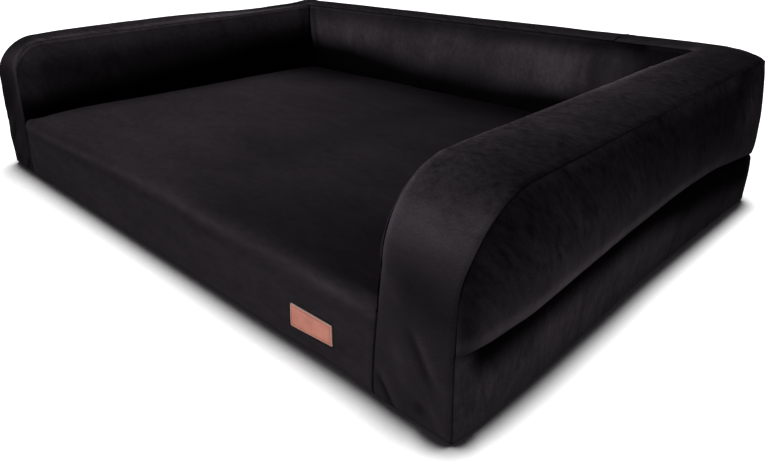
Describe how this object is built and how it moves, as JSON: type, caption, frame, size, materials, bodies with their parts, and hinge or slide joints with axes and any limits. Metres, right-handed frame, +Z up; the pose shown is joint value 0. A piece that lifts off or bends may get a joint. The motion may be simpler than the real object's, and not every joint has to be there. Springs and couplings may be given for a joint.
{
  "type": "dog sofa bed",
  "caption": "Rectangular foam dog bed, open at the front, with a raised bolster round the other sides, in a sewn velvet cover with zips at the back and a small leather patch.",
  "frame": {"origin": "on the floor at the centre of the footprint", "axes": "+Z up, the open front faces -Y, +X to the right as seen from the front"},
  "size_m": [1.2396, 0.8436, 0.2711],
  "materials": {
    "velvet": "crushed plush velvet",
    "underside": "woven cloth with grip dots",
    "lining": "plain woven lining",
    "leather_patch": "smooth tan leather with a stitched border",
    "firm_foam": "open-cell foam",
    "memory_foam": "open-cell foam",
    "bolster_foam": "open-cell foam",
    "zip_tape": "woven tape",
    "zip_teeth": "matte",
    "zip_metal": "satin"
  },
  "bodies": {
    "bed": {"seat_front_panel": "velvet", "left_strip": "velvet", "right_strip": "velvet", "left_inner_panel": "velvet", "right_inner_panel": "velvet", "back_inner_panel": "velvet", "left_outer_panel": "velvet", "right_outer_panel": "velvet", "back_outer_panel": "velvet", "back_zip_band": "velvet", "left_base_panel": "velvet", "right_base_panel": "velvet", "back_base_panel": "velvet", "back_base_band": "velvet", "bottom_panel": "underside", "divider_panel": "lining", "label_patch": "leather_patch", "support_foam": "firm_foam", "memory_foam_topper": "memory_foam", "left_bolster_foam": "bolster_foam", "right_bolster_foam": "bolster_foam", "back_bolster_foam": "bolster_foam", "base_zip_upper_tape": "zip_tape", "base_zip_lower_tape": "zip_tape", "base_zip_chain": "zip_teeth", "base_zip_stops": "zip_metal", "bolster_zip_upper_tape": "zip_tape", "bolster_zip_lower_tape": "zip_tape", "bolster_zip_chain": "zip_teeth", "bolster_zip_stops": "zip_metal"},
    "base_zip_slider": {"base_zip_slider": "zip_metal"},
    "base_zip_pull": {"base_zip_pull": "zip_metal"},
    "bolster_zip_slider": {"bolster_zip_slider": "zip_metal"},
    "bolster_zip_pull": {"bolster_zip_pull": "zip_metal"}
  },
  "joints": [
    {"name": "base_zip_slide", "type": "slide", "parent": "bed", "child": "base_zip_slider", "axis": [1, 0, 0], "range_m": [-1.0248, 0]},
    {"name": "base_zip_pull_fold", "type": "hinge", "parent": "base_zip_slider", "child": "base_zip_pull", "pos_m": [0.5124, 0.4181, 0.046], "axis": [0, 0, 1], "range_deg": [-180, 0]},
    {"name": "bolster_zip_slide", "type": "slide", "parent": "bed", "child": "bolster_zip_slider", "axis": [1, 0, 0], "range_m": [-1.0248, 0]},
    {"name": "bolster_zip_pull_fold", "type": "hinge", "parent": "bolster_zip_slider", "child": "bolster_zip_pull", "pos_m": [0.5124, 0.4181, 0.128], "axis": [0, 0, 1], "range_deg": [-180, 0]}
  ]
}
